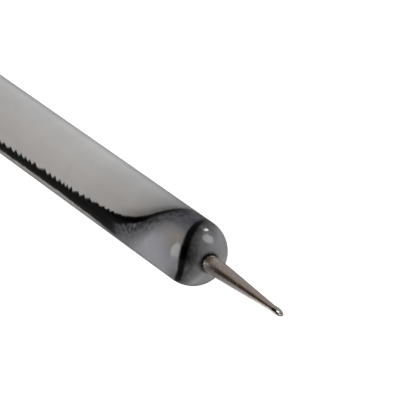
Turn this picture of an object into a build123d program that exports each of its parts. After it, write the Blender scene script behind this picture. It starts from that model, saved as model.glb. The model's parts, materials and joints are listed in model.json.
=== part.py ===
from build123d import *

import math
import os

# Two-ended stylus with a marbled acrylic handle.
#
# Each end of the handle holds a turned, tapered metal point. The front point ends in a rounded head
# with a slot-shaped eye through it, and the rear point ends in a brazed ball.
#
# The origin is on the tool's axis, at the middle of the handle. +X runs along the tool towards the
# eyed end, and +Z is up. All sizes are in millimetres.

# Handle
HANDLE_DIAMETER = 8.0
HANDLE_LENGTH = 91.8  # from pole to pole of its round ends
HANDLE_RADIUS = HANDLE_DIAMETER / 2

# Places along a metal point are s, the distance out from the pole of the handle's round end. They are
# the same at both ends, and negative inside the handle.
POINT_REACH = 16.6

# Outside of a point: a lip just clear of the handle, a slight belly, then a straight taper to the neck
LIP_START_S = 0.1
LIP_S = 0.24
LIP_RADIUS = 1.03
BELLY_START_SLOPE = -0.012
TAPER_START_S = 5.4
TAPER_START_RADIUS = 0.85
NECK_S = 14.25
NECK_RADIUS = 0.397
TAPER_SLOPE = (NECK_RADIUS - TAPER_START_RADIUS) / (NECK_S - TAPER_START_S)
SEAM_S = 7.5  # where the ferrule ends and the needle or the stem takes over
SEAM_CHAMFER = 0.03
TURNED_LINE_S = 2.3  # a fine line turned round the belly
TURNED_LINE_RADIUS = 0.985  # of the belly there
TURNED_LINE_DEPTH = 0.02

# Tang of the ferrule
TANG_RADIUS = 0.93
TANG_END_S = -10.4
TANG_CHAMFER = 0.25
GLUE_GROOVES_S = (-8.6, -6.6, -4.6, -2.6)
GLUE_GROOVE_WIDTH = 0.6
GLUE_GROOVE_DEPTH = 0.12

# Bore in the handle
BORE_RADIUS = 1.03
BORE_END_S = -11.2
DRILL_POINT = 0.6  # length of the drill's cone past the straight bore
MOUTH_RADIUS = 1.11  # of the relief round the lip
MOUTH_END_S = -0.75
MOUTH_ROUNDING = 0.05
BOND_END_S = -0.95  # outer end of the adhesive, just below the relief

# Socket in the ferrule, and the peg in it
PEG_RADIUS = 0.40
PEG_END_S = 3.2
SOCKET_CLEARANCE = 0.01
SOCKET_END_S = 3.0

# Eyed head of the front point
HEAD_WIDEST_S = 15.0
HEAD_RADIUS = 0.432
EYE_START_S = 14.7
EYE_END_S = 16.15
EYE_WIDTH = 0.28
EYE_TURN_DEG = 60.0  # the eye's axis, turned about the tool from +Z towards -Y

# Ball of the rear point
BALL_RADIUS = 0.9
BALL_START_S = POINT_REACH - 2 * BALL_RADIUS
BALL_SEAT_DEPTH = 0.45
STEM_TIP_RADIUS = 0.36  # of the stem's thin end, inside the ball


def taper_radius(s):
    """Outer radius of a point at s, on its straight taper."""
    return TAPER_START_RADIUS + TAPER_SLOPE * (s - TAPER_START_S)


def turned(*outline):
    """A solid turned about X. The outline is edges in the XY plane that start and end on the X axis."""
    edges = [edge for part in outline for edge in part.edges()]
    wire = Wire(edges)
    return revolve(make_face(Wire([*edges, Line(wire @ 1, wire @ 0).edge()])), Axis.X)


def rod(radius, start, end):
    """A plain round rod along X."""
    return turned(Polyline((start, 0), (start, radius), (end, radius), (end, 0)))


def handle_blank():
    """A round bar along X with a hemisphere at each end."""
    half, r = HANDLE_LENGTH / 2, HANDLE_RADIUS
    diagonal = r * math.sqrt(0.5)
    rear = ThreePointArc((-half, 0), (-half + r - diagonal, diagonal), (-half + r, r))
    side = Line((-half + r, r), (half - r, r))
    front = ThreePointArc((half - r, r), (half - r + diagonal, diagonal), (half, 0))
    return turned(rear, side, front)


def drilled_hole(end):
    """What the drill takes out of the handle, up to end."""
    return turned(
        Polyline((BORE_END_S - DRILL_POINT, 0), (BORE_END_S, BORE_RADIUS), (end, BORE_RADIUS), (end, 0))
    )


def tang():
    """The ferrule's shank inside the handle, with its glue grooves."""
    core_radius = TANG_RADIUS - GLUE_GROOVE_DEPTH
    shank = turned(
        Polyline(
            (TANG_END_S, 0),
            (TANG_END_S, TANG_RADIUS - TANG_CHAMFER),
            (TANG_END_S + TANG_CHAMFER, TANG_RADIUS),
            (LIP_START_S, TANG_RADIUS),
            (LIP_START_S, 0),
        )
    )
    for middle in GLUE_GROOVES_S:
        start, end = middle - GLUE_GROOVE_WIDTH / 2, middle + GLUE_GROOVE_WIDTH / 2
        shank -= rod(HANDLE_RADIUS, start, end) - rod(core_radius, start, end)
    return shank


def ferrule():
    """Tapered ferrule: its tang, the lip, the slight belly, and a socket in its narrow end."""
    seam_radius = taper_radius(SEAM_S)
    lip = SagittaArc((LIP_START_S, TANG_RADIUS), (LIP_S, LIP_RADIUS), 0.03)
    belly = Spline(
        (LIP_S, LIP_RADIUS),
        (TAPER_START_S, TAPER_START_RADIUS),
        tangents=[(1, BELLY_START_SLOPE), (1, TAPER_SLOPE)],
    )
    narrow_end = Polyline(
        (TAPER_START_S, TAPER_START_RADIUS),
        (SEAM_S - SEAM_CHAMFER, taper_radius(SEAM_S - SEAM_CHAMFER)),
        (SEAM_S, seam_radius - SEAM_CHAMFER),
        (SEAM_S, 0),
    )
    body = turned(Line((LIP_START_S, 0), (LIP_START_S, TANG_RADIUS)), lip, belly, narrow_end) + tang()
    body -= Pos(TURNED_LINE_S, 0, 0) * Rot(0, 90, 0) * Torus(TURNED_LINE_RADIUS, TURNED_LINE_DEPTH)
    return body - rod(PEG_RADIUS + SOCKET_CLEARANCE, SOCKET_END_S, SEAM_S)


def bond():
    """The cured adhesive that fills the bore round the tang."""
    return drilled_hole(BOND_END_S) - tang()


def peg_and_taper():
    """Outline of a point's peg in the ferrule and its share of the taper, as far as the neck."""
    return Polyline(
        (PEG_END_S, 0),
        (PEG_END_S, PEG_RADIUS),
        (SEAM_S, PEG_RADIUS),
        (SEAM_S, taper_radius(SEAM_S) - SEAM_CHAMFER),
        (SEAM_S + SEAM_CHAMFER, taper_radius(SEAM_S + SEAM_CHAMFER)),
        (NECK_S, NECK_RADIUS),
    )


def eye_needle():
    """Front point: peg, taper and rounded head, with an eye through the head along Z."""
    neck = Spline(
        (NECK_S, NECK_RADIUS),
        (HEAD_WIDEST_S, HEAD_RADIUS),
        tangents=[(1, TAPER_SLOPE), (1, 0)],
    )
    head = EllipticalCenterArc((HEAD_WIDEST_S, 0), POINT_REACH - HEAD_WIDEST_S, HEAD_RADIUS)
    eye = SlotOverall(EYE_END_S - EYE_START_S, EYE_WIDTH)
    eye_cutter = extrude(Pos((EYE_START_S + EYE_END_S) / 2, 0) * eye, HEAD_RADIUS, both=True)
    return turned(peg_and_taper(), neck, head) - eye_cutter


def ball_stem():
    """Rear point: peg, taper, and a thin end that holds the ball."""
    seat_s = BALL_START_S + BALL_SEAT_DEPTH
    thin_end = Polyline(
        (NECK_S, NECK_RADIUS), (NECK_S, STEM_TIP_RADIUS), (seat_s, STEM_TIP_RADIUS), (seat_s, 0)
    )
    return turned(peg_and_taper(), thin_end)


def ball():
    """Steel ball, with the seat that the stem is brazed into."""
    sphere = Pos(BALL_START_S + BALL_RADIUS, 0, 0) * Sphere(BALL_RADIUS)
    return sphere - rod(STEM_TIP_RADIUS, NECK_S, BALL_START_S + BALL_SEAT_DEPTH)


def at_front(shape):
    """Moves a shape from s to the front end of the tool."""
    return Pos(HANDLE_LENGTH / 2, 0, 0) * shape


def at_rear(shape):
    """Moves a shape from s to the rear end of the tool."""
    return Pos(-HANDLE_LENGTH / 2, 0, 0) * Rot(0, 0, 180) * shape


def handle():
    """The acrylic bar, with a bore at each end and the bores' mouths rounded."""
    hole = drilled_hole(MOUTH_END_S) + rod(MOUTH_RADIUS, MOUTH_END_S, LIP_S)
    bar = handle_blank() - at_front(hole) - at_rear(hole)
    outermost = HANDLE_LENGTH / 2 + MOUTH_END_S / 2
    mouths = [edge for edge in bar.edges() if abs(edge.center().X) > outermost]
    return fillet(mouths, MOUTH_ROUNDING)


def main():
    nodes = {
        "handle": handle(),
        "front_ferrule": at_front(ferrule()),
        "rear_ferrule": at_rear(ferrule()),
        "front_bond": at_front(bond()),
        "rear_bond": at_rear(bond()),
        "eye_needle": at_front(Rot(EYE_TURN_DEG, 0, 0) * eye_needle()),
        "ball_stem": at_rear(ball_stem()),
        "tip_ball": at_rear(ball()),
    }
    os.makedirs("parts", exist_ok=True)
    for name, shape in nodes.items():
        export_step(shape, f"parts/{name}.step")


main()
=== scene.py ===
import json
import math

import bmesh
import bpy
from mathutils import Matrix, Vector


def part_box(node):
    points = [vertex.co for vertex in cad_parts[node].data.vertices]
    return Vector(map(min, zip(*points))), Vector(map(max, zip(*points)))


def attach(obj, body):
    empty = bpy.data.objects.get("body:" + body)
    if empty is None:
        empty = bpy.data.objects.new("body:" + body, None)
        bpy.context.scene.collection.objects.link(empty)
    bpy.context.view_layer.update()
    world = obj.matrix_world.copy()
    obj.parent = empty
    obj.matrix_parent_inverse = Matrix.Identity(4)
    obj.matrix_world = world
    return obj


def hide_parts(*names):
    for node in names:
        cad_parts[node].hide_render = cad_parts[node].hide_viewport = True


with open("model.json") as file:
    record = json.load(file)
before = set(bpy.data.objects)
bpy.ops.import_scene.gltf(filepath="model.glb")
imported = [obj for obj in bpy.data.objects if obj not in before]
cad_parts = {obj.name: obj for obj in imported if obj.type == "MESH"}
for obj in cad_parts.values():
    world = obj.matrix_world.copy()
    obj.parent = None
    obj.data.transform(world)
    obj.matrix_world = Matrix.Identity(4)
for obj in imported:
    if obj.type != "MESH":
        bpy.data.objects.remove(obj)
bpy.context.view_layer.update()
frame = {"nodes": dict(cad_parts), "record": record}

MM = 0.001
MOUNTS = {mount["name"]: mount for mount in frame["record"]["mounts"]}

# Handle, from the frame. The two poles are where the round ends would meet the axis.
HANDLE_RADIUS = MOUNTS["barrel"]["dims"]["r_mm"] * MM
STRAIGHT_HALF = MOUNTS["barrel"]["dims"]["length_mm"] / 2 * MM
POLE = STRAIGHT_HALF + HANDLE_RADIUS
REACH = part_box("eye_needle")[1].x - POLE  # how far each metal point stands out of its pole

# Bore in the handle. Places along a point are distances out from the pole, as in the CAD source.
BORE_RADIUS = 1.03 * MM
BORE_END = -11.2 * MM
DRILL_TIP = -11.8 * MM
MOUTH_RADIUS = 1.11 * MM
MOUTH_END = -0.75 * MM
MOUTH_ROUNDING = 0.05 * MM

# Outside of a metal point
LIP_START = 0.1 * MM
LIP = 0.24 * MM
LIP_RADIUS = 1.03 * MM
BELLY_START_SLOPE = -0.012
TAPER_START = 5.4 * MM
TAPER_START_RADIUS = 0.85 * MM
NECK = 14.25 * MM
NECK_RADIUS = 0.397 * MM
TAPER_SLOPE = (NECK_RADIUS - TAPER_START_RADIUS) / (NECK - TAPER_START)
SEAM = 7.5 * MM
SEAM_CHAMFER = 0.03 * MM
TURNED_LINE = 2.3 * MM
TURNED_LINE_DEPTH = 0.008 * MM
TURNED_LINE_HALF_WIDTH = 0.03 * MM
TANG_RADIUS = 0.93 * MM
TANG_END = -10.4 * MM
PEG_RADIUS = 0.40 * MM
PEG_END = 3.2 * MM
SOCKET_RADIUS = 0.41 * MM
SOCKET_END = 3.0 * MM

# Eyed head
HEAD_WIDEST = 15.0 * MM
HEAD_RADIUS = 0.432 * MM
EYE_START = 14.7 * MM
EYE_END = 16.15 * MM
EYE_HALF_WIDTH = 0.14 * MM
EYE_ROUNDING = 0.035 * MM
EYE_MARGIN = 0.16 * MM  # from the eye's ends to the rim of the patch of rings round it
EYE_COLUMNS = 18  # on each side of the eye's middle line, out of the head's POINT_SIDES
EYE_RINGS = 7  # from the rim of that patch in to the eye's rounded edge
EYE_WALL_ROWS = 6
NECK_ROWS = 14
HEAD_ROWS = 56

# Ball
BALL_RADIUS = 0.9 * MM
STEM_TIP_RADIUS = 0.36 * MM
BALL_SEAT_DEPTH = 0.45 * MM

# Fineness of the turned meshes
HANDLE_SIDES = 160
POINT_SIDES = 96
BALL_SIDES = 80
DOME_STEPS = 48
BALL_STEPS = 40
SAME_PLACE = 1e-7  # points nearer than this are one point
ON_AXIS = 1e-8  # points nearer to the axis than this are on it

# Marbling, in millimetres, degrees round the tool and tones as seen, where 1 is white
FIRST_TURN = 42.0  # degrees at which the count round the tool starts
TOOTH_PITCH = 1.38
TOOTH_RISE = 0.76  # share of the pitch
VEIN_TONE = 0.035
RING_TONE = 0.01
DARKEST_SMOKE = 0.07
WARM_SPOT_TURN = 143  # degrees
DISPLAY_GAMMA = 2.2

# Metal
METAL_TINT = (0.90, 0.80, 0.76)
DARK_SHARE = 0.74  # of the tint, where the plating is dull
# Share of the plating's colour left inside the eye, where shade is painted
EYE_SHADE_TONE = 0.16
BASE_SHADE_SPAN = (0.7, 1.5)  # where the painted shade and warm reflection round a point's base end, in mm out from the pole
TIP_SHADE_SPAN = (15.4, 16.0)  # where the painted shade on one side of the eyed tip starts, in mm out from the pole

# Camera, at the photograph's viewing angle, and where it puts the middle of the front round end
VIEW_AZIMUTH = math.radians(61.08)
VIEW_ELEVATION = math.radians(22.45)
VIEW_DISTANCE = 0.476
LENS_MM = 373.7
SENSOR_MM = 36.0
DOME_RIGHT = -0.0175  # of the frame's width, from its middle
DOME_UP = -0.128

# Studio
LAMP_DISTANCE = 0.7
FLOOR_HALF_SIZE = 6.0
ROOM_FILL = 0.25
FLOOR_ALBEDO = 0.2
# How brightly the floor glows: seen directly, as light on matt surfaces, and in reflections
FLOOR_GLOW_SEEN = 1.0
FLOOR_GLOW_FILL = 0.45
FLOOR_GLOW_REFLECTED = 0.0


# --- Shapes -------------------------------------------------------------------------------------


def new_piece(name, bm, material, node, smooth_below=35.0):
    """Turns a bmesh into a piece that rides on the body and stands for its CAD node."""
    bmesh.ops.recalc_face_normals(bm, faces=bm.faces)
    mesh = bpy.data.meshes.new(name)
    bm.to_mesh(mesh)
    bm.free()
    mesh.polygons.foreach_set("use_smooth", [True] * len(mesh.polygons))
    mesh.set_sharp_from_angle(angle=math.radians(smooth_below))
    mesh.materials.append(material)
    piece = bpy.data.objects.new(name, mesh)
    bpy.context.scene.collection.objects.link(piece)
    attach(piece, "root")
    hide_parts(node)
    return piece


def arc(centre, radius, start, end, steps):
    """Points of an arc in the (along, radius) plane. Angles in degrees, from the outward direction."""
    points = []
    for step in range(steps + 1):
        angle = math.radians(start + (end - start) * step / steps)
        points.append((centre[0] + radius * math.cos(angle), centre[1] + radius * math.sin(angle)))
    return points


def cubic(t, span, start, start_slope, end, end_slope):
    """Height at share t of the cubic that goes from start to end over span with the given slopes."""
    return (
        (2 * t**3 - 3 * t**2 + 1) * start
        + (t**3 - 2 * t**2 + t) * span * start_slope
        + (3 * t**2 - 2 * t**3) * end
        + (t**3 - t**2) * span * end_slope
    )


def flowing(start, start_slope, end, end_slope, steps):
    """Points of a cubic from one point to the other with the given slopes."""
    span = end[0] - start[0]
    points = []
    for step in range(steps + 1):
        t = step / steps
        points.append((start[0] + span * t, cubic(t, span, start[1], start_slope, end[1], end_slope)))
    return points


def straight(start, end, steps):
    """Evenly spaced points from start to end."""
    return [
        (start[0] + (end[0] - start[0]) * k / steps, start[1] + (end[1] - start[1]) * k / steps)
        for k in range(steps + 1)
    ]


def tidy_outline(points):
    """Drops points that repeat the one before."""
    kept = [points[0]]
    for point in points[1:]:
        if math.dist(point, kept[-1]) > SAME_PLACE:
            kept.append(point)
    return kept


def turned(bm, outline, place, sides):
    """Revolves an outline of (out, radius) points. place maps (out, y, z) to the frame."""
    rings = []
    for out, radius in tidy_outline(outline):
        if radius < ON_AXIS:
            rings.append([bm.verts.new(place(out, 0, 0))])
            continue
        ring = []
        for side in range(sides):
            angle = 2 * math.pi * side / sides
            ring.append(bm.verts.new(place(out, radius * math.cos(angle), radius * math.sin(angle))))
        rings.append(ring)
    for ring, following in zip(rings, rings[1:]):
        for side in range(sides):
            after = (side + 1) % sides
            corners = [ring[side % len(ring)], ring[after % len(ring)]]
            corners += [following[after % len(following)], following[side % len(following)]]
            bm.faces.new(list(dict.fromkeys(corners)))
    return rings


def bridge(bm, loops):
    """Fills the bands between closed loops that have the same number of points."""
    for outer, inner in zip(loops, loops[1:]):
        for k in range(len(outer)):
            n = (k + 1) % len(outer)
            bm.faces.new((outer[k], outer[n], inner[n], inner[k]))


def at_front(out, y, z):
    return Vector((POLE + out, y, z))


def at_rear(out, y, z):
    return Vector((-POLE - out, y, -z))


def taper_radius(out):
    return TAPER_START_RADIUS + TAPER_SLOPE * (out - TAPER_START)


def bore_outline():
    """Half of the handle's outline: from the drill's tip, out of the bore and over the round end."""
    mouth = -(HANDLE_RADIUS - math.sqrt(HANDLE_RADIUS**2 - MOUTH_RADIUS**2))
    dome_start = math.degrees(math.asin((MOUTH_RADIUS + MOUTH_ROUNDING) / HANDLE_RADIUS))
    points = [(DRILL_TIP, 0), (BORE_END, BORE_RADIUS)]
    points += straight((BORE_END, BORE_RADIUS), (MOUTH_END, BORE_RADIUS), 8)
    points += straight((MOUTH_END, MOUTH_RADIUS), (mouth - MOUTH_ROUNDING, MOUTH_RADIUS), 3)
    rounding_end = (
        -HANDLE_RADIUS + HANDLE_RADIUS * math.cos(math.radians(dome_start)),
        MOUTH_RADIUS + MOUTH_ROUNDING,
    )
    middle = (mouth - 0.3 * MOUTH_ROUNDING, MOUTH_RADIUS + 0.3 * MOUTH_ROUNDING)
    points += [middle, rounding_end]
    points += arc((-HANDLE_RADIUS, 0), HANDLE_RADIUS, dome_start, 90, DOME_STEPS)
    return points


def make_handle(material):
    front = [(POLE + out, radius) for out, radius in bore_outline()]
    rear = [(-x, radius) for x, radius in front]
    side = straight((-STRAIGHT_HALF, HANDLE_RADIUS), (STRAIGHT_HALF, HANDLE_RADIUS), 60)
    bm = bmesh.new()
    turned(bm, rear + side + front[::-1], lambda x, y, z: Vector((x, y, z)), HANDLE_SIDES)
    return new_piece("marbled_handle", bm, material, "handle")


def belly_outline():
    """Outside of the ferrule from its lip to the start of the straight taper, with the turned line."""
    belly = flowing(
        (LIP, LIP_RADIUS), BELLY_START_SLOPE, (TAPER_START, TAPER_START_RADIUS), TAPER_SLOPE, 60
    )
    line_start = TURNED_LINE - TURNED_LINE_HALF_WIDTH
    line_end = TURNED_LINE + TURNED_LINE_HALF_WIDTH
    before = [point for point in belly if point[0] < line_start]
    after = [point for point in belly if point[0] > line_end]
    edge_before = (line_start, before[-1][1])
    edge_after = (line_end, after[0][1])
    bottom = (TURNED_LINE, (edge_before[1] + edge_after[1]) / 2 - TURNED_LINE_DEPTH)
    return before + [edge_before, bottom, edge_after] + after


def make_ferrule(name, node, place, material):
    """Ferrule with its tang, lip, belly and socket."""
    lip_height = LIP_RADIUS - TANG_RADIUS
    lip = []
    for degrees in range(0, 91, 10):
        angle = math.radians(degrees)
        out = LIP - (LIP - LIP_START) * math.cos(angle)
        lip.append((out, TANG_RADIUS + lip_height * math.sin(angle)))
    outline = [(TANG_END, 0), (TANG_END, TANG_RADIUS)]
    outline += straight((TANG_END, TANG_RADIUS), (LIP_START, TANG_RADIUS), 10) + lip + belly_outline()
    seam_foot = SEAM - SEAM_CHAMFER
    outline += straight((TAPER_START, TAPER_START_RADIUS), (seam_foot, taper_radius(seam_foot)), 8)
    outline += [(SEAM, taper_radius(SEAM) - SEAM_CHAMFER), (SEAM, SOCKET_RADIUS)]
    outline += [(SOCKET_END, SOCKET_RADIUS), (SOCKET_END, 0)]
    bm = bmesh.new()
    turned(bm, outline, place, POINT_SIDES)
    return new_piece(name, bm, material, node, smooth_below=30)


def peg_outline():
    """Peg in the socket and the taper from the seam to the neck."""
    seam_foot = SEAM + SEAM_CHAMFER
    points = [(PEG_END, 0), (PEG_END, PEG_RADIUS), (SEAM, PEG_RADIUS)]
    points += [(SEAM, taper_radius(SEAM) - SEAM_CHAMFER)]
    return points + straight((seam_foot, taper_radius(seam_foot)), (NECK, NECK_RADIUS), 24)


def head_radius(out):
    """Outer radius of the eyed head, from the neck to the tip."""
    if out >= HEAD_WIDEST:
        share = (out - HEAD_WIDEST) / (REACH - HEAD_WIDEST)
        return HEAD_RADIUS * math.sqrt(max(0.0, 1 - share * share))
    span = HEAD_WIDEST - NECK
    return cubic((out - NECK) / span, span, NECK_RADIUS, TAPER_SLOPE, HEAD_RADIUS, 0)


def make_eye_needle(material):
    """Needle with a slot-shaped eye. Its head is a turned grid with a patch of rings round the eye."""
    eye_axis = Vector(MOUNTS["eye"]["axis"]).normalized()
    across = eye_axis.cross(Vector((1, 0, 0)))

    def place(out, y, z):
        return Vector((POLE + out, 0, 0)) + across * y + eye_axis * z

    head = [NECK + (HEAD_WIDEST - NECK) * row / NECK_ROWS for row in range(NECK_ROWS)]
    for row in range(HEAD_ROWS + 1):
        head.append(HEAD_WIDEST + (REACH - HEAD_WIDEST) * math.sin(math.pi / 2 * row / HEAD_ROWS))
    outline = peg_outline()[:-1] + [(out, head_radius(out)) for out in head]
    bm = bmesh.new()
    rings = turned(bm, outline, place, POINT_SIDES)
    outs = [out for out, radius in tidy_outline(outline)]
    rows = [k for k, out in enumerate(outs) if EYE_START - EYE_MARGIN < out < EYE_END + EYE_MARGIN]
    first, last = rows[0], rows[-1]
    edges = {}
    for side in (1, -1):
        middle = POINT_SIDES * (2 - side) // 4
        left, right = middle - EYE_COLUMNS, middle + EYE_COLUMNS
        rim = [(first, c) for c in range(left, right)] + [(r, right) for r in range(first, last)]
        rim += [(last, c) for c in range(right, left, -1)] + [(r, left) for r in range(last, first, -1)]
        if side < 0:
            rim = [(r, 2 * middle - c) for r, c in rim]
        loops = [[rings[r][c] for r, c in rim]]
        spokes = []
        for r, c in rim:
            out, wide = outs[r], head_radius(outs[r]) * math.cos(2 * math.pi * c / POINT_SIDES)
            root = min(max(out, EYE_START + EYE_HALF_WIDTH), EYE_END - EYE_HALF_WIDTH)
            length = math.hypot(out - root, wide)
            spokes.append((root, (out - root) / length, wide / length, length))
        doomed = [rings[r][c] for r in range(first + 1, last) for c in range(left + 1, right)]
        bmesh.ops.delete(bm, geom=doomed, context="VERTS")
        edge_reach = EYE_HALF_WIDTH + EYE_ROUNDING
        # Each ring's share of the way in, and how far the rounded edge moves it further in and down
        steps = [(k / EYE_RINGS, 0.0, 0.0) for k in range(1, EYE_RINGS + 1)]
        for degrees in (22.5, 45, 67.5, 90):
            a = math.radians(degrees)
            steps.append((1.0, EYE_ROUNDING * math.sin(a), EYE_ROUNDING * (1 - math.cos(a))))
        for share, inset, drop in steps:
            loop = []
            for root, along, sideways, length in spokes:
                reach = length + (edge_reach - length) * share
                out, wide = root + along * reach, sideways * reach
                height = math.sqrt(max(head_radius(out) ** 2 - wide**2, 0)) - drop
                reach -= inset
                loop.append(bm.verts.new(place(root + along * reach, sideways * reach, side * height)))
            loops.append(loop)
        bridge(bm, loops)
        edges[side] = loops[-1]
    walls = [edges[1]]
    for row in range(1, EYE_WALL_ROWS):
        share = row / EYE_WALL_ROWS
        walls.append([bm.verts.new(a.co.lerp(b.co, share)) for a, b in zip(edges[1], edges[-1])])
    walls.append(edges[-1])
    bridge(bm, walls)
    return new_piece("eyed_needle", bm, material, "eye_needle", smooth_below=30)


def make_ball_stem(material):
    seat = REACH - 2 * BALL_RADIUS + BALL_SEAT_DEPTH
    outline = peg_outline() + [(NECK, STEM_TIP_RADIUS), (seat, STEM_TIP_RADIUS), (seat, 0)]
    bm = bmesh.new()
    turned(bm, outline, at_rear, POINT_SIDES)
    return new_piece("ball_stem_turned", bm, material, "ball_stem", smooth_below=30)


def make_ball(material):
    centre = REACH - BALL_RADIUS
    seat = centre - BALL_RADIUS + BALL_SEAT_DEPTH
    start = 180 - math.degrees(math.asin(STEM_TIP_RADIUS / BALL_RADIUS))
    outline = [(seat, 0), (seat, STEM_TIP_RADIUS)]
    outline += arc((centre, 0), BALL_RADIUS, start, 0, BALL_STEPS)
    bm = bmesh.new()
    turned(bm, outline, at_rear, BALL_SIDES)
    return new_piece("polished_ball", bm, material, "tip_ball", smooth_below=40)


# --- Materials ----------------------------------------------------------------------------------


class Graph:
    """Adds nodes to a material, so that a formula can be written as calls. Lengths are in mm."""

    def __init__(self, name):
        self.material = bpy.data.materials.new(name)
        self.material.use_nodes = True
        self.tree = self.material.node_tree
        self.tree.nodes.clear()
        self.shader = self.tree.nodes.new("ShaderNodeBsdfPrincipled")
        output = self.tree.nodes.new("ShaderNodeOutputMaterial")
        self.tree.links.new(self.shader.outputs["BSDF"], output.inputs["Surface"])
        here = self.tree.nodes.new("ShaderNodeTexCoord").outputs["Object"]
        self.place = self.vector("SCALE", here, scale=1 / MM)
        split = self.tree.nodes.new("ShaderNodeSeparateXYZ")
        self.tree.links.new(self.place, split.inputs[0])
        self.x, self.y, self.z = split.outputs

    def put(self, socket, value):
        """Links or sets one input."""
        if isinstance(value, bpy.types.NodeSocket):
            self.tree.links.new(value, socket)
        else:
            socket.default_value = value

    def vector(self, operation, first, second=None, scale=None):
        node = self.tree.nodes.new("ShaderNodeVectorMath")
        node.operation = operation
        self.put(node.inputs[0], first)
        if second is not None:
            self.put(node.inputs[1], second)
        if scale is not None:
            self.put(node.inputs["Scale"], scale)
        return node.outputs["Vector"]

    def math(self, operation, *values, clamp=False):
        node = self.tree.nodes.new("ShaderNodeMath")
        node.operation = operation
        node.use_clamp = clamp
        for socket, value in zip(node.inputs, values):
            self.put(socket, value)
        return node.outputs[0]

    def add(self, a, b):
        return self.math("ADD", a, b)

    def less(self, a, b):
        return self.math("SUBTRACT", a, b)

    def times(self, a, b):
        return self.math("MULTIPLY", a, b)

    def step(self, value, low, high, out_low=0.0, out_high=1.0):
        """Smooth step from low to high."""
        node = self.tree.nodes.new("ShaderNodeMapRange")
        node.interpolation_type = "SMOOTHSTEP"
        for name, given in zip(
            ("Value", "From Min", "From Max", "To Min", "To Max"), (value, low, high, out_low, out_high)
        ):
            self.put(node.inputs[name], given)
        return node.outputs["Result"]

    def curve(self, value, points):
        """A smooth curve through a few (input, output) points, level past its ends."""
        lows = [min(p[k] for p in points) for k in (0, 1)]
        spans = [max(p[k] for p in points) - lows[k] for k in (0, 1)]
        node = self.tree.nodes.new("ShaderNodeFloatCurve")
        line = node.mapping.curves[0]
        scaled = [tuple((p[k] - lows[k]) / spans[k] for k in (0, 1)) for p in points]
        while len(line.points) < len(scaled):
            line.points.new(0.5, 0.5)
        for point, place in zip(line.points, scaled):
            point.location = place
            point.handle_type = "AUTO_CLAMPED"
        node.mapping.update()
        share = self.math("MULTIPLY", self.less(value, lows[0]), 1 / spans[0], clamp=True)
        self.put(node.inputs["Value"], share)
        return self.add(self.times(node.outputs[0], spans[1]), lows[1])

    def noise(self, scale, detail=2.0, roughness=0.5, distortion=0.0, where=None, signed=True):
        """Noise of about -1 to 1, with scale in lumps per millimetre."""
        node = self.tree.nodes.new("ShaderNodeTexNoise")
        for name, given in zip(
            ("Vector", "Scale", "Detail", "Roughness", "Distortion"),
            (where or self.place, scale, detail, roughness, distortion),
        ):
            self.put(node.inputs[name], given)
        if not signed:
            return node.outputs[0]
        return self.times(self.less(node.outputs[0], 0.5), 2.0)

    def absolute(self, value):
        return self.math("ABSOLUTE", value)

    def stretched(self, along, across):
        """The place with its coordinates scaled along the tool and across it."""
        y, z = self.times(self.y, across), self.times(self.z, across)
        return self.join(self.times(self.x, along), y, z)

    def join(self, x, y, z):
        node = self.tree.nodes.new("ShaderNodeCombineXYZ")
        for socket, value in zip(node.inputs, (x, y, z)):
            self.put(socket, value)
        return node.outputs[0]

    def mix(self, share, a, b):
        """Plain mix of two numbers."""
        return self.add(a, self.times(share, self.less(b, a)))

    def colours(self, share, *stops):
        """Colour ramp of (place, (r, g, b)) stops."""
        node = self.tree.nodes.new("ShaderNodeValToRGB")
        ramp = node.color_ramp
        while len(ramp.elements) < len(stops):
            ramp.elements.new(0.5)
        for element, (place, colour) in zip(ramp.elements, stops):
            element.position = place
            element.color = (*colour, 1)
        self.put(node.inputs[0], share)
        return node.outputs[0]

    def bump(self, height, distance):
        node = self.tree.nodes.new("ShaderNodeBump")
        self.put(node.inputs["Height"], height)
        self.put(node.inputs["Distance"], distance)
        self.put(self.shader.inputs["Normal"], node.outputs[0])


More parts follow.
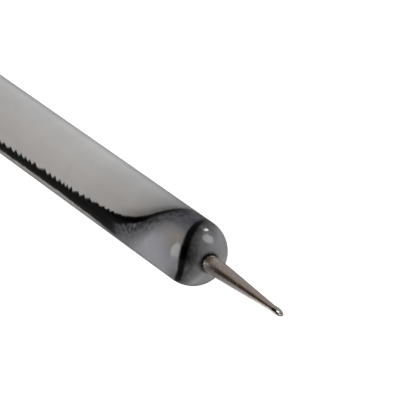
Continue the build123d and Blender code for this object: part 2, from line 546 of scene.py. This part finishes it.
def marbled_acrylic():
    """Pearl and smoke marble with a black vein that turns over the front round end."""
    g = Graph("marbled_acrylic")
    radius = HANDLE_RADIUS / MM
    dome = STRAIGHT_HALF / MM
    # along: distance over the surface from the front pole. turn: degrees about the tool from +Y to +Z.
    past = g.math("MAXIMUM", g.less(g.x, dome), 0)
    round_part = g.times(g.math("ARCCOSINE", g.math("DIVIDE", past, radius)), radius)
    along = g.add(round_part, g.math("MAXIMUM", g.less(dome, g.x), 0))
    turn = g.math("DEGREES", g.math("ARCTAN2", g.z, g.y))
    turn = g.math("WRAP", turn, FIRST_TURN + 360, FIRST_TURN)
    arc_mm = math.radians(1) * radius

    wobble = g.noise(0.9, 3)
    fine = g.noise(3.2, 4, 0.6)
    clouds = g.noise(1.25, 4, 0.58, 0.6)
    mottling = g.noise(1.9, 4, 0.62, 0.8)

    # The edge between pearl and black, once as turn for each along and once the other way round
    edge_turn = g.curve(
        along,
        [(5.0, 52), (7.6, 58), (9.2, 66), (9.85, 90), (11.1, 120), (12.6, 138), (14.6, 151),
         (17, 159.7), (20.5, 166), (24.5, 170.5), (29, 175), (36, 177.5), (52, 183), (70, 176),
         (100, 186)],
    )
    edge_along = g.curve(
        turn,
        [(42, 7.2), (62, 8.6), (74, 9.3), (90, 9.85), (110, 10.55), (120, 11.1), (130, 11.8),
         (138, 12.6), (146, 13.7), (154, 15.2), (160.5, 17), (166, 20.5), (170.5, 24.5), (174, 29),
         (178, 110)],
    )
    down = g.times(g.less(turn, edge_turn), arc_mm)
    ahead = g.less(edge_along, along)
    size = g.math("SQRT", g.add(g.add(g.times(down, down), g.times(ahead, ahead)), 0.0001))
    depth = g.math("DIVIDE", g.times(down, g.absolute(ahead)), size)
    smooth_depth = g.add(depth, g.times(wobble, 0.06))

    # Saw teeth: a slow rise and a quick fall, uneven in pitch and height
    drift = g.noise(0.14, 1)
    beat = g.math("FRACT", g.math("DIVIDE", g.less(g.times(drift, 2.4), along), TOOTH_PITCH))
    rise = g.math("POWER", g.math("DIVIDE", beat, TOOTH_RISE), 1.5)
    fall = g.math("DIVIDE", g.less(1, beat), 1 - TOOTH_RISE)
    tooth = g.math("MINIMUM", rise, fall)
    tooth_height = g.curve(
        along, [(14, 0.0), (17, 0.06), (19.5, 0.22), (24, 0.30), (30, 0.45), (100, 0.45)]
    )
    tooth_height = g.times(tooth_height, g.add(1.0, g.times(wobble, 0.5)))
    serration = g.times(g.less(tooth, 0.45), tooth_height)
    roughened = g.times(fine, g.step(along, 9, 13, 0.05, 0.12))
    toothed_depth = g.add(smooth_depth, g.add(serration, roughened))

    # Black: a vein of slowly changing thickness, that swells to a block with a mottled end
    vein_thickness = g.curve(
        turn,
        [(60, 0.35), (90, 0.58), (108, 0.64), (118, 0.55), (134, 0.58), (146, 0.70), (160, 0.72),
         (168, 0.82), (176, 1.1)],
    )
    vein_thickness = g.add(vein_thickness, g.times(fine, 0.1))
    thin = g.step(g.less(smooth_depth, vein_thickness), -0.14, 0.2, 1.0, 0.0)
    block_thickness = g.curve(
        along,
        [(17, 2.9), (20, 2.72), (22, 2.45), (24, 2.2), (26, 2.0), (28, 1.8), (30, 1.65), (34, 1.5),
         (50, 1.3), (75, 1.9), (100, 1.2)],
    )
    soft_end = g.step(along, 19, 27, 0.55, 0.32)
    past_block = g.add(g.less(smooth_depth, block_thickness), g.times(wobble, 0.14))
    wide = g.step(past_block, g.times(soft_end, -0.6), soft_end, 1.0, 0.0)
    block_end = g.add(along, g.add(g.times(clouds, 2.6), g.times(mottling, 1.2)))
    wide = g.times(wide, g.step(block_end, 17.0, 20.2))
    softness = g.step(along, 19, 26, 0.16, 0.24)
    edge = g.step(toothed_depth, g.times(softness, -1.0), softness)
    vein = g.times(edge, g.math("MAXIMUM", thin, wide))
    vein = g.times(vein, g.step(turn, 62, 88))

    # Black ring round the front end
    ring_along = g.curve(
        turn,
        [(42, 13.0), (50, 8.5), (60, 6.7), (70, 5.95), (78, 5.55), (90, 5.12), (102, 4.65),
         (114, 4.27), (126, 3.88), (138, 3.58), (150, 3.46), (174, 3.38), (186, 3.44), (198, 3.66),
         (210, 4.22), (222, 5.0), (235, 7.0), (250, 12), (262, 22), (276, 60), (290, 100)],
    )
    off_ring = g.less(g.add(along, g.times(fine, 0.09)), ring_along)
    from_ring = g.absolute(off_ring)
    ring_half = g.curve(
        turn,
        [(42, 0.12), (66, 0.14), (78, 0.28), (90, 0.37), (104, 0.43), (150, 0.46), (165, 0.44),
         (186, 0.37), (215, 0.42), (260, 0.3)],
    )
    near_ring = g.step(from_ring, g.times(ring_half, 0.45), g.times(ring_half, 1.5), 1.0, 0.0)
    ring = g.times(near_ring, g.step(turn, 60, 84))
    # What lies within the ring is the cap. Its edge is soft where the ring has faded out.
    ring_fade = g.step(turn, 58, 84, 1.6, 0.12)
    capped = g.step(off_ring, g.times(ring_fade, -1.0), ring_fade, 1.0, 0.0)

    # Tones as seen, before they are turned into colours
    pearl = g.curve(
        along,
        [(8, 0.47), (11, 0.50), (13, 0.555), (16, 0.61), (24, 0.665), (32, 0.69), (100, 0.68)],
    )
    shading = g.curve(
        turn,
        [(60, 1.0), (76, 1.0), (100, 0.955), (125, 0.98), (142, 1.0), (165, 0.955), (200, 1.0)],
    )
    pearl = g.add(g.times(pearl, shading), g.times(g.noise(0.22, 3, 0.5, 0.6), 0.03))
    beside = g.step(g.absolute(depth), 0.0, 1.5, -0.14, 0.0)
    pearl = g.add(pearl, g.times(beside, g.step(along, 20, 13)))

    from_vein = g.math("MAXIMUM", depth, 0)
    smoke = g.curve(from_vein, [(0.5, 0.19), (2.4, 0.38), (3.4, 0.48), (5, 0.56), (7, 0.56)])
    beside_ring = g.step(from_ring, 0.8, 2.8, 0.76, 1.0)
    smoke_along = g.curve(
        along,
        [(4.2, 0.82), (5.8, 0.93), (8, 1.0), (12, 1.02), (14, 0.96), (16, 0.88), (18.5, 0.80)],
    )
    smoke_round = g.curve(
        turn,
        [(42, 1.45), (55, 1.36), (66, 1.16), (78, 0.90), (90, 0.68), (112, 0.76), (128, 0.96),
         (155, 1.0), (190, 1.06), (210, 1.18)],
    )
    smoke = g.times(smoke, g.mix(g.step(turn, 185, 212), 1.0, beside_ring))
    smoke = g.times(g.times(smoke, smoke_along), smoke_round)
    smoke = g.add(smoke, g.times(clouds, g.step(from_vein, 0.8, 3.6, 0.26, 0.03)))
    speckled = g.times(g.step(from_vein, 0.7, 3.4, 0.40, 0.0), g.step(along, 11.0, 14.0))
    smoke = g.add(smoke, g.times(mottling, speckled))
    smoke = g.math("MAXIMUM", smoke, DARKEST_SMOKE)

    lift = g.curve(
        turn,
        [(60, 0.45), (85, 0.7), (110, 0.6), (135, 0.42), (150, 0.15), (165, 0.08), (180, 0.45),
         (200, 0.9), (230, 0.6)],
    )
    cap = g.curve(
        g.add(from_ring, lift),
        [(0.4, 0.13), (1.1, 0.21), (1.7, 0.29), (2.4, 0.36), (3.0, 0.405), (3.6, 0.44),
         (4.3, 0.475), (6, 0.51)],
    )
    # Painted light: the cap is lighter low down, near the pole
    below = g.times(g.step(turn, 222, 245, 0.0, 0.17), g.step(turn, 300, 285))
    cap = g.times(cap, g.add(1.0, g.times(below, g.step(along, 4.4, 3.4))))
    cap = g.add(cap, g.times(clouds, g.step(from_ring, 0.6, 3.5, 0.16, 0.05)))
    # Painted light and shade: the cap's tone changes round the tool, darker above
    cap_painted_shading = g.curve(
        turn,
        [(42, 0.93), (60, 0.93), (100, 0.91), (140, 0.92), (160, 1.07), (180, 1.07), (200, 1.13),
         (235, 1.12), (255, 1.02), (300, 0.96), (335, 1.06), (352, 1.05), (365, 0.98), (402, 0.93)],
    )
    cap = g.times(cap, cap_painted_shading)
    # Painted shade: a dark ring round the mouth of the bore
    cap = g.times(cap, g.step(along, 1.1, 1.5, 0.6, 1.0))
    cap = g.mix(g.step(along, 6.5, 13), cap, pearl)

    past_band = g.curve(along, [(18, 0.50), (22, 0.58), (26, 0.66), (34, 0.66)])
    under_band = g.mix(g.step(along, 22.0, 18.6), past_band, smoke)
    # The smoke's edge frays where it runs out near the top
    frayed = g.step(turn, 90, 68)
    under_depth = g.add(smooth_depth, g.times(frayed, g.times(clouds, 0.5)))
    under = g.step(under_depth, g.mix(frayed, 0.1, -0.7), g.mix(frayed, 0.5, 1.2))
    tone = g.mix(under, pearl, under_band)
    tone = g.mix(capped, tone, cap)
    tone = g.mix(g.times(vein, g.less(1.0, capped)), tone, VEIN_TONE)
    tone = g.mix(ring, tone, RING_TONE)
    light = g.math("POWER", g.math("MAXIMUM", tone, 0), DISPLAY_GAMMA)

    # Pearl is a little warm beside the band and neutral above, the smoke is a little blue
    hue = g.noise(0.35, 2)
    warmth = g.times(g.step(turn, 85, 150), g.step(turn, 300, 235))
    smoky = g.math("MAXIMUM", g.times(under, g.step(along, 20.5, 18.0)), g.step(off_ring, 0.5, -0.5))
    warmth = g.add(g.times(warmth, g.mix(smoky, 1.0, 0.0)), g.times(hue, 0.35))
    blue = g.curve(
        turn,
        [(60, 1.17), (100, 1.16), (125, 1.06), (150, 1.05), (170, 1.07), (190, 1.06), (300, 1.05)],
    )
    # A warm spot in the smoke beside the ring
    from_spot = g.absolute(g.less(turn, WARM_SPOT_TURN))
    glow = g.times(g.step(from_spot, 8, 26, 1.0, 0.0), g.step(along, 8.5, 6.0))
    glow = g.times(glow, g.step(off_ring, 0.3, 1.0))
    blue = g.mix(capped, g.less(blue, g.times(glow, 0.13)), 1.02)
    red = g.add(g.add(1.0, g.times(warmth, 0.045)), g.times(glow, 0.05))
    green = g.less(g.mix(smoky, 0.99, 0.985), g.times(warmth, 0.005))
    blue = g.less(g.mix(smoky, 0.985, blue), g.times(warmth, 0.035))
    colour = g.tree.nodes.new("ShaderNodeCombineColor")
    for socket, tint in zip(colour.inputs, (red, green, blue)):
        g.put(socket, g.times(light, tint))
    g.put(g.shader.inputs["Base Color"], colour.outputs[0])
    g.put(g.shader.inputs["Roughness"], g.add(0.12, g.times(g.noise(2.0, 3), 0.04)))
    g.shader.inputs["IOR"].default_value = 1.45
    g.shader.inputs["Specular IOR Level"].default_value = 0.19
    g.bump(g.noise(0.6, 3, 0.5), 0.004 * MM)
    return g.material


def plated_metal(name):
    """Plated metal: brushed along and turned, blotched, rougher in the eye, with painted shade on one
    side of the eyed tip, round the base and in the eye, and a painted warm reflection round the base.
    """
    g = Graph(name)
    lines = g.noise(1.0, 3, 0.7, where=g.stretched(14, 0))
    rings = g.noise(1.0, 3, 0.6, where=g.stretched(3, 0.6))
    strokes = g.noise(1.0, 4, 0.7, where=g.stretched(0.5, 6))
    specks = g.noise(3.4, 3, 0.6)
    tarnish = g.noise(1.1, 4, 0.6, 0.4)
    blotches = g.add(g.times(rings, 0.25), g.add(g.times(tarnish, 0.35), g.times(strokes, 0.8)))
    dark = tuple(DARK_SHARE * level for level in METAL_TINT)
    plating = g.colours(g.add(0.5, blotches), (0.15, dark), (0.85, METAL_TINT))
    from_pole = g.less(g.absolute(g.x), POLE / MM)
    # Distance from the middle line of the eye, at right angles to its axis
    eye_axis = Vector(MOUNTS["eye"]["axis"])
    across = g.less(g.times(g.y, eye_axis.z), g.times(g.z, eye_axis.y))
    start = (POLE + EYE_START + EYE_HALF_WIDTH) / MM
    end = (POLE + EYE_END - EYE_HALF_WIDTH) / MM
    past_ends = g.less(g.x, g.math("MINIMUM", g.math("MAXIMUM", g.x, start), end))
    from_eye = g.math("SQRT", g.add(g.times(past_ends, past_ends), g.times(across, across)))
    # Inside the eye the metal is rougher, and shade is painted there by darkening its colour
    in_eye = (EYE_HALF_WIDTH + 0.2 * EYE_ROUNDING) / MM
    eye_rough_and_shaded = g.step(from_eye, in_eye, (EYE_HALF_WIDTH + EYE_ROUNDING) / MM, 1.0, 0.0)
    # Painted shade on one side of the eyed tip, and round the base a painted warm reflection with
    # painted shade on its upper side
    near_tip = g.step(g.less(g.x, POLE / MM), *TIP_SHADE_SPAN)
    tip_painted_shade = g.times(near_tip, g.step(across, 0.0, -0.14, 0.0, 0.75))
    base_shade_and_warm_reflection = g.step(from_pole, *BASE_SHADE_SPAN, 1.0, 0.0)
    shadowed = g.times(base_shade_and_warm_reflection, g.step(across, -0.1, 0.4))
    bright = g.times(g.less(1.0, tip_painted_shade), g.mix(shadowed, 1.05, 0.62))
    shaded = g.vector("SCALE", plating, scale=g.mix(eye_rough_and_shaded, bright, EYE_SHADE_TONE))
    # Painted warm reflection: the metal round the base is tinted warm
    warm_reflection_tint = g.join(1.0, g.mix(base_shade_and_warm_reflection, 1.0, 0.97), g.mix(base_shade_and_warm_reflection, 1.0, 0.86))
    g.put(g.shader.inputs["Base Color"], g.vector("MULTIPLY", shaded, warm_reflection_tint))
    g.shader.inputs["Metallic"].default_value = 1.0
    # The joint, the turned line and the base are scuffed in places
    scuff = 0
    for mark, reach in ((SEAM, 0.42), (TURNED_LINE, 0.3)):
        near = g.step(g.absolute(g.less(from_pole, mark / MM)), 0.3 * reach, reach, 1.0, 0.0)
        scuff = g.add(scuff, near)
    scuff = g.add(scuff, g.step(from_pole, 0.6, 1.3, 0.7, 0.0))
    scuff = g.times(scuff, g.step(specks, -0.35, 0.15, 0.25, 1.0))
    satin = g.add(g.add(0.15, g.times(g.add(rings, lines), 0.04)), g.times(scuff, 0.22))
    g.put(g.shader.inputs["Roughness"], g.mix(eye_rough_and_shaded, satin, 0.5))
    g.bump(g.add(g.times(lines, 0.3), strokes), 0.014 * MM)
    return g.material


def cured_adhesive():
    """Amber epoxy with a few cloudy patches."""
    g = Graph("cured_adhesive")
    cloud = g.noise(1.2, 4, signed=False)
    amber = g.colours(cloud, (0.3, (0.36, 0.27, 0.13)), (0.7, (0.52, 0.43, 0.27)))
    g.put(g.shader.inputs["Base Color"], amber)
    g.put(g.shader.inputs["Roughness"], g.step(cloud, 0.3, 0.7, 0.2, 0.4))
    g.bump(cloud, 0.02 * MM)
    return g.material


# --- Studio -------------------------------------------------------------------------------------


def camera_axes():
    back = Vector(
        (
            math.sin(VIEW_AZIMUTH) * math.cos(VIEW_ELEVATION),
            -math.cos(VIEW_AZIMUTH) * math.cos(VIEW_ELEVATION),
            math.sin(VIEW_ELEVATION),
        )
    )
    right = Vector((math.cos(VIEW_AZIMUTH), math.sin(VIEW_AZIMUTH), 0))
    return right, back.cross(right), back


def make_camera():
    right, up, back = camera_axes()
    data = bpy.data.cameras.new("camera")
    data.lens = LENS_MM
    data.sensor_width = SENSOR_MM
    data.clip_start = 0.05
    camera = bpy.data.objects.new("camera", data)
    bpy.context.scene.collection.objects.link(camera)
    width = VIEW_DISTANCE * SENSOR_MM / LENS_MM
    dome = Vector((STRAIGHT_HALF, 0, 0))
    camera.location = dome + back * VIEW_DISTANCE - right * DOME_RIGHT * width - up * DOME_UP * width
    camera.rotation_mode = "QUATERNION"
    camera.rotation_quaternion = back.to_track_quat("Z", "Y")
    bpy.context.scene.camera = camera


def softbox(name, towards, size, radiance, roll=0.0, mirrored=True, lighting=True):
    """An oval area light that shows the given radiance, in that direction from the front round end.

    roll: degrees it is turned about that direction. mirrored: it shows in glossy surfaces.
    lighting: it lights matt ones.
    """
    direction = Vector(towards).normalized()
    data = bpy.data.lights.new(name, "AREA")
    data.shape = "ELLIPSE"
    data.size, data.size_y = size
    data.energy = radiance * math.pi * math.pi / 4 * size[0] * size[1]
    lamp = bpy.data.objects.new(name, data)
    bpy.context.scene.collection.objects.link(lamp)
    lamp.location = Vector((STRAIGHT_HALF, 0, 0)) + direction * LAMP_DISTANCE
    sideways = Vector((1, 0, 0)) - direction * direction.x
    upright = direction.cross(sideways)
    turn = Matrix((sideways.normalized(), upright.normalized(), direction)).transposed()
    turn = turn @ Matrix.Rotation(math.radians(roll), 3, "Z")
    lamp.rotation_mode = "QUATERNION"
    lamp.rotation_quaternion = turn.to_quaternion()
    lamp.visible_glossy = mirrored
    lamp.visible_diffuse = lighting
    return lamp


def shine_only_on(lamps, things):
    """Keeps the strong lamps off the small metal parts, which would otherwise burn out."""
    lit = bpy.data.collections.new("lit_by_highlights")
    for thing in things:
        lit.objects.link(thing)
    for lamp in lamps:
        lamp.light_linking.receiver_collection = lit


def ring_room(tree):
    """Radiance of the room by direction round the tool: pale above, dim at +Y and dark at -Y."""
    here = tree.nodes.new("ShaderNodeTexCoord")
    split = tree.nodes.new("ShaderNodeSeparateXYZ")
    angle = tree.nodes.new("ShaderNodeMath")
    angle.operation = "ARCTAN2"
    share = tree.nodes.new("ShaderNodeMapRange")
    share.inputs["From Max"].default_value = math.pi
    ramp = tree.nodes.new("ShaderNodeValToRGB")
    stops = [
        (0, (0.12, 0.115, 0.11)),
        (22, (0.30, 0.295, 0.29)),
        (80, (0.27, 0.255, 0.25)),
        (122, (0.26, 0.235, 0.22)),
        (138, (0.15, 0.122, 0.105)),
        (148, (0.035, 0.023, 0.016)),
        (180, (0.03, 0.020, 0.014)),
    ]
    while len(ramp.color_ramp.elements) < len(stops):
        ramp.color_ramp.elements.new(0.5)
    for element, (degrees, colour) in zip(ramp.color_ramp.elements, stops):
        element.position = degrees / 180
        element.color = (*colour, 1)
    tree.links.new(here.outputs["Generated"], split.inputs[0])
    tree.links.new(split.outputs["Z"], angle.inputs[0])
    tree.links.new(split.outputs["Y"], angle.inputs[1])
    tree.links.new(angle.outputs[0], share.inputs["Value"])
    tree.links.new(share.outputs["Result"], ramp.inputs[0])
    return ramp.outputs[0]


def make_world():
    """White behind the object, a dim room in its reflections, and a soft fill on its surfaces."""
    world = bpy.data.worlds.new("studio")
    world.use_nodes = True
    tree = world.node_tree
    tree.nodes.clear()
    path = tree.nodes.new("ShaderNodeLightPath")
    behind, reflected, fill = (tree.nodes.new("ShaderNodeBackground") for _ in range(3))
    behind.inputs["Color"].default_value = (1, 1, 1, 1)
    fill.inputs["Color"].default_value = (ROOM_FILL, ROOM_FILL, ROOM_FILL, 1)
    tree.links.new(ring_room(tree), reflected.inputs["Color"])
    indirect = tree.nodes.new("ShaderNodeMixShader")
    whole = tree.nodes.new("ShaderNodeMixShader")
    output = tree.nodes.new("ShaderNodeOutputWorld")
    tree.links.new(path.outputs["Is Glossy Ray"], indirect.inputs[0])
    tree.links.new(fill.outputs[0], indirect.inputs[1])
    tree.links.new(reflected.outputs[0], indirect.inputs[2])
    tree.links.new(path.outputs["Is Camera Ray"], whole.inputs[0])
    tree.links.new(indirect.outputs[0], whole.inputs[1])
    tree.links.new(behind.outputs[0], whole.inputs[2])
    tree.links.new(whole.outputs[0], output.inputs["Surface"])
    bpy.context.scene.world = world


def make_floor():
    """Plain pale floor that the handle lies on, lit from below as a light table is."""
    g = Graph("pale_floor")
    path = g.tree.nodes.new("ShaderNodeLightPath")
    # Painted shadow and shade, seen only in reflections: dark below the handle, brightest below the
    # metal point, and dim far off
    painted_floor_shadow = g.curve(
        g.x,
        [(36, 0.14), (39, 0.22), (42, 0.32), (46, 0.35), (48, 0.42), (51, 0.6), (54, 0.74),
         (57, 0.62), (62, 0.4)],
    )
    reflected = g.times(painted_floor_shadow, g.step(g.absolute(g.y), 6, 26, 1.0, 0.4))
    albedo = g.mix(path.outputs["Is Glossy Ray"], FLOOR_ALBEDO, reflected)
    g.put(g.shader.inputs["Base Color"], g.join(albedo, albedo, albedo))
    g.shader.inputs["Roughness"].default_value = 0.15
    g.shader.inputs["Emission Color"].default_value = (1, 1, 1, 1)
    unseen = g.mix(path.outputs["Is Glossy Ray"], FLOOR_GLOW_FILL, FLOOR_GLOW_REFLECTED)
    glow = g.mix(path.outputs["Is Camera Ray"], unseen, FLOOR_GLOW_SEEN)
    g.put(g.shader.inputs["Emission Strength"], glow)
    bm = bmesh.new()
    bmesh.ops.create_grid(bm, x_segments=1, y_segments=1, size=FLOOR_HALF_SIZE)
    mesh = bpy.data.meshes.new("floor")
    bm.to_mesh(mesh)
    bm.free()
    mesh.materials.append(g.material)
    floor = bpy.data.objects.new("floor", mesh)
    bpy.context.scene.collection.objects.link(floor)
    floor.location.z = -HANDLE_RADIUS
    return floor


make_camera()
make_world()
floor = make_floor()
highlights = [
    softbox("far_lamp", (-0.06, 0.628, 0.776), (0.19, 0.090), 35, roll=-62),
    softbox("far_softbox", (0.45, 0.570, 0.687), (0.46, 0.35), 10.8, roll=-75, lighting=False),
    softbox("far_fill", (0.45, 0.59, 0.66), (0.36, 0.33), 9.6, mirrored=False),
    softbox("near_window", (-0.02, -0.995, 0.14), (0.42, 0.76), 10.2, lighting=False),
]
softbox("near_softbox", (-0.05, -0.835, 0.55), (0.60, 0.24), 7, mirrored=False)
softbox("metal_softbox", (0.3, 0.3, 0.9), (0.24, 0.24), 0.5, lighting=False)

acrylic = marbled_acrylic()
ferrule_metal = plated_metal("plated_ferrule")
point_metal = plated_metal("plated_point")
adhesive = cured_adhesive()

handle = make_handle(acrylic)
make_ferrule("front_ferrule_turned", "front_ferrule", at_front, ferrule_metal)
make_ferrule("rear_ferrule_turned", "rear_ferrule", at_rear, ferrule_metal)
make_eye_needle(point_metal)
make_ball_stem(point_metal)
make_ball(point_metal)
shine_only_on(highlights, [handle, floor])
for node in ("front_bond", "rear_bond"):
    frame["nodes"][node].data.materials.clear()
    frame["nodes"][node].data.materials.append(adhesive)

bpy.context.scene.view_settings.view_transform = "Standard"
